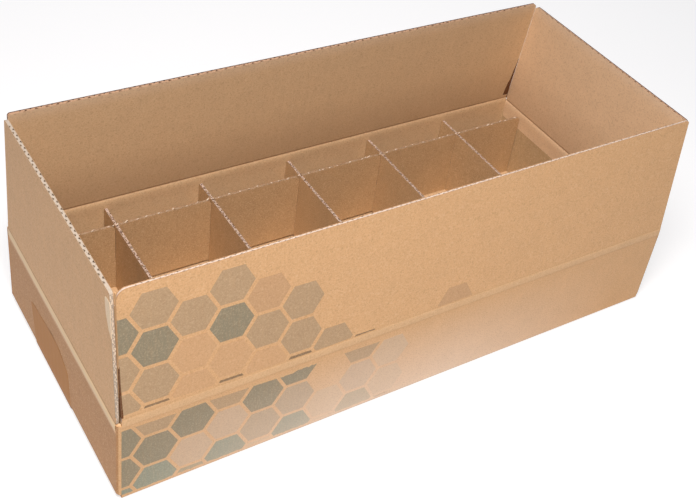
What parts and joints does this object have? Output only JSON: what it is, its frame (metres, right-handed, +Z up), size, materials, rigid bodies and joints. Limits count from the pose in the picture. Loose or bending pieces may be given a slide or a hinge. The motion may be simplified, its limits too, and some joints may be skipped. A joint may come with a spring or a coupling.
{
  "type": "slotted shipping carton with jar dividers",
  "caption": "Open slotted carton of brown fluted board with four hinged top flaps, taped bottom and an interlocked divider grid for jars.",
  "frame": {"origin": "middle of the underside, on the surface that the carton stands on", "axes": "+X along the long panels, +Y from the printed front panel to the back panel, +Z up"},
  "size_m": [0.5402, 0.242, 0.2057],
  "materials": {
    "carton_board": "brown kraft liner, matt",
    "divider_board": "brown test liner, matt",
    "tape": "brown packing tape, slightly glossy"
  },
  "bodies": {
    "carton": {"carton_body": "carton_board", "divider_long_front": "divider_board", "divider_long_middle": "divider_board", "divider_long_back": "divider_board", "divider_cross_1": "divider_board", "divider_cross_2": "divider_board", "divider_cross_3": "divider_board", "divider_cross_4": "divider_board", "divider_cross_5": "divider_board", "bottom_tape": "tape"},
    "front_flap": {"flap_front": "carton_board"},
    "back_flap": {"flap_back": "carton_board"},
    "left_flap": {"flap_left": "carton_board"},
    "right_flap": {"flap_right": "carton_board"}
  },
  "joints": [
    {"name": "front_crease", "type": "hinge", "parent": "carton", "child": "front_flap", "pos_m": [0, -0.1195, 0.088], "axis": [-1, 0, 0], "range_deg": [-125, 85]},
    {"name": "back_crease", "type": "hinge", "parent": "carton", "child": "back_flap", "pos_m": [0, 0.1195, 0.088], "axis": [1, 0, 0], "range_deg": [-125.3, 84.7]},
    {"name": "left_crease", "type": "hinge", "parent": "carton", "child": "left_flap", "pos_m": [-0.2685, 0, 0.0848], "axis": [0, 1, 0], "range_deg": [-120, 90]},
    {"name": "right_crease", "type": "hinge", "parent": "carton", "child": "right_flap", "pos_m": [0.2685, 0, 0.0848], "axis": [0, -1, 0], "range_deg": [-120, 90]}
  ]
}
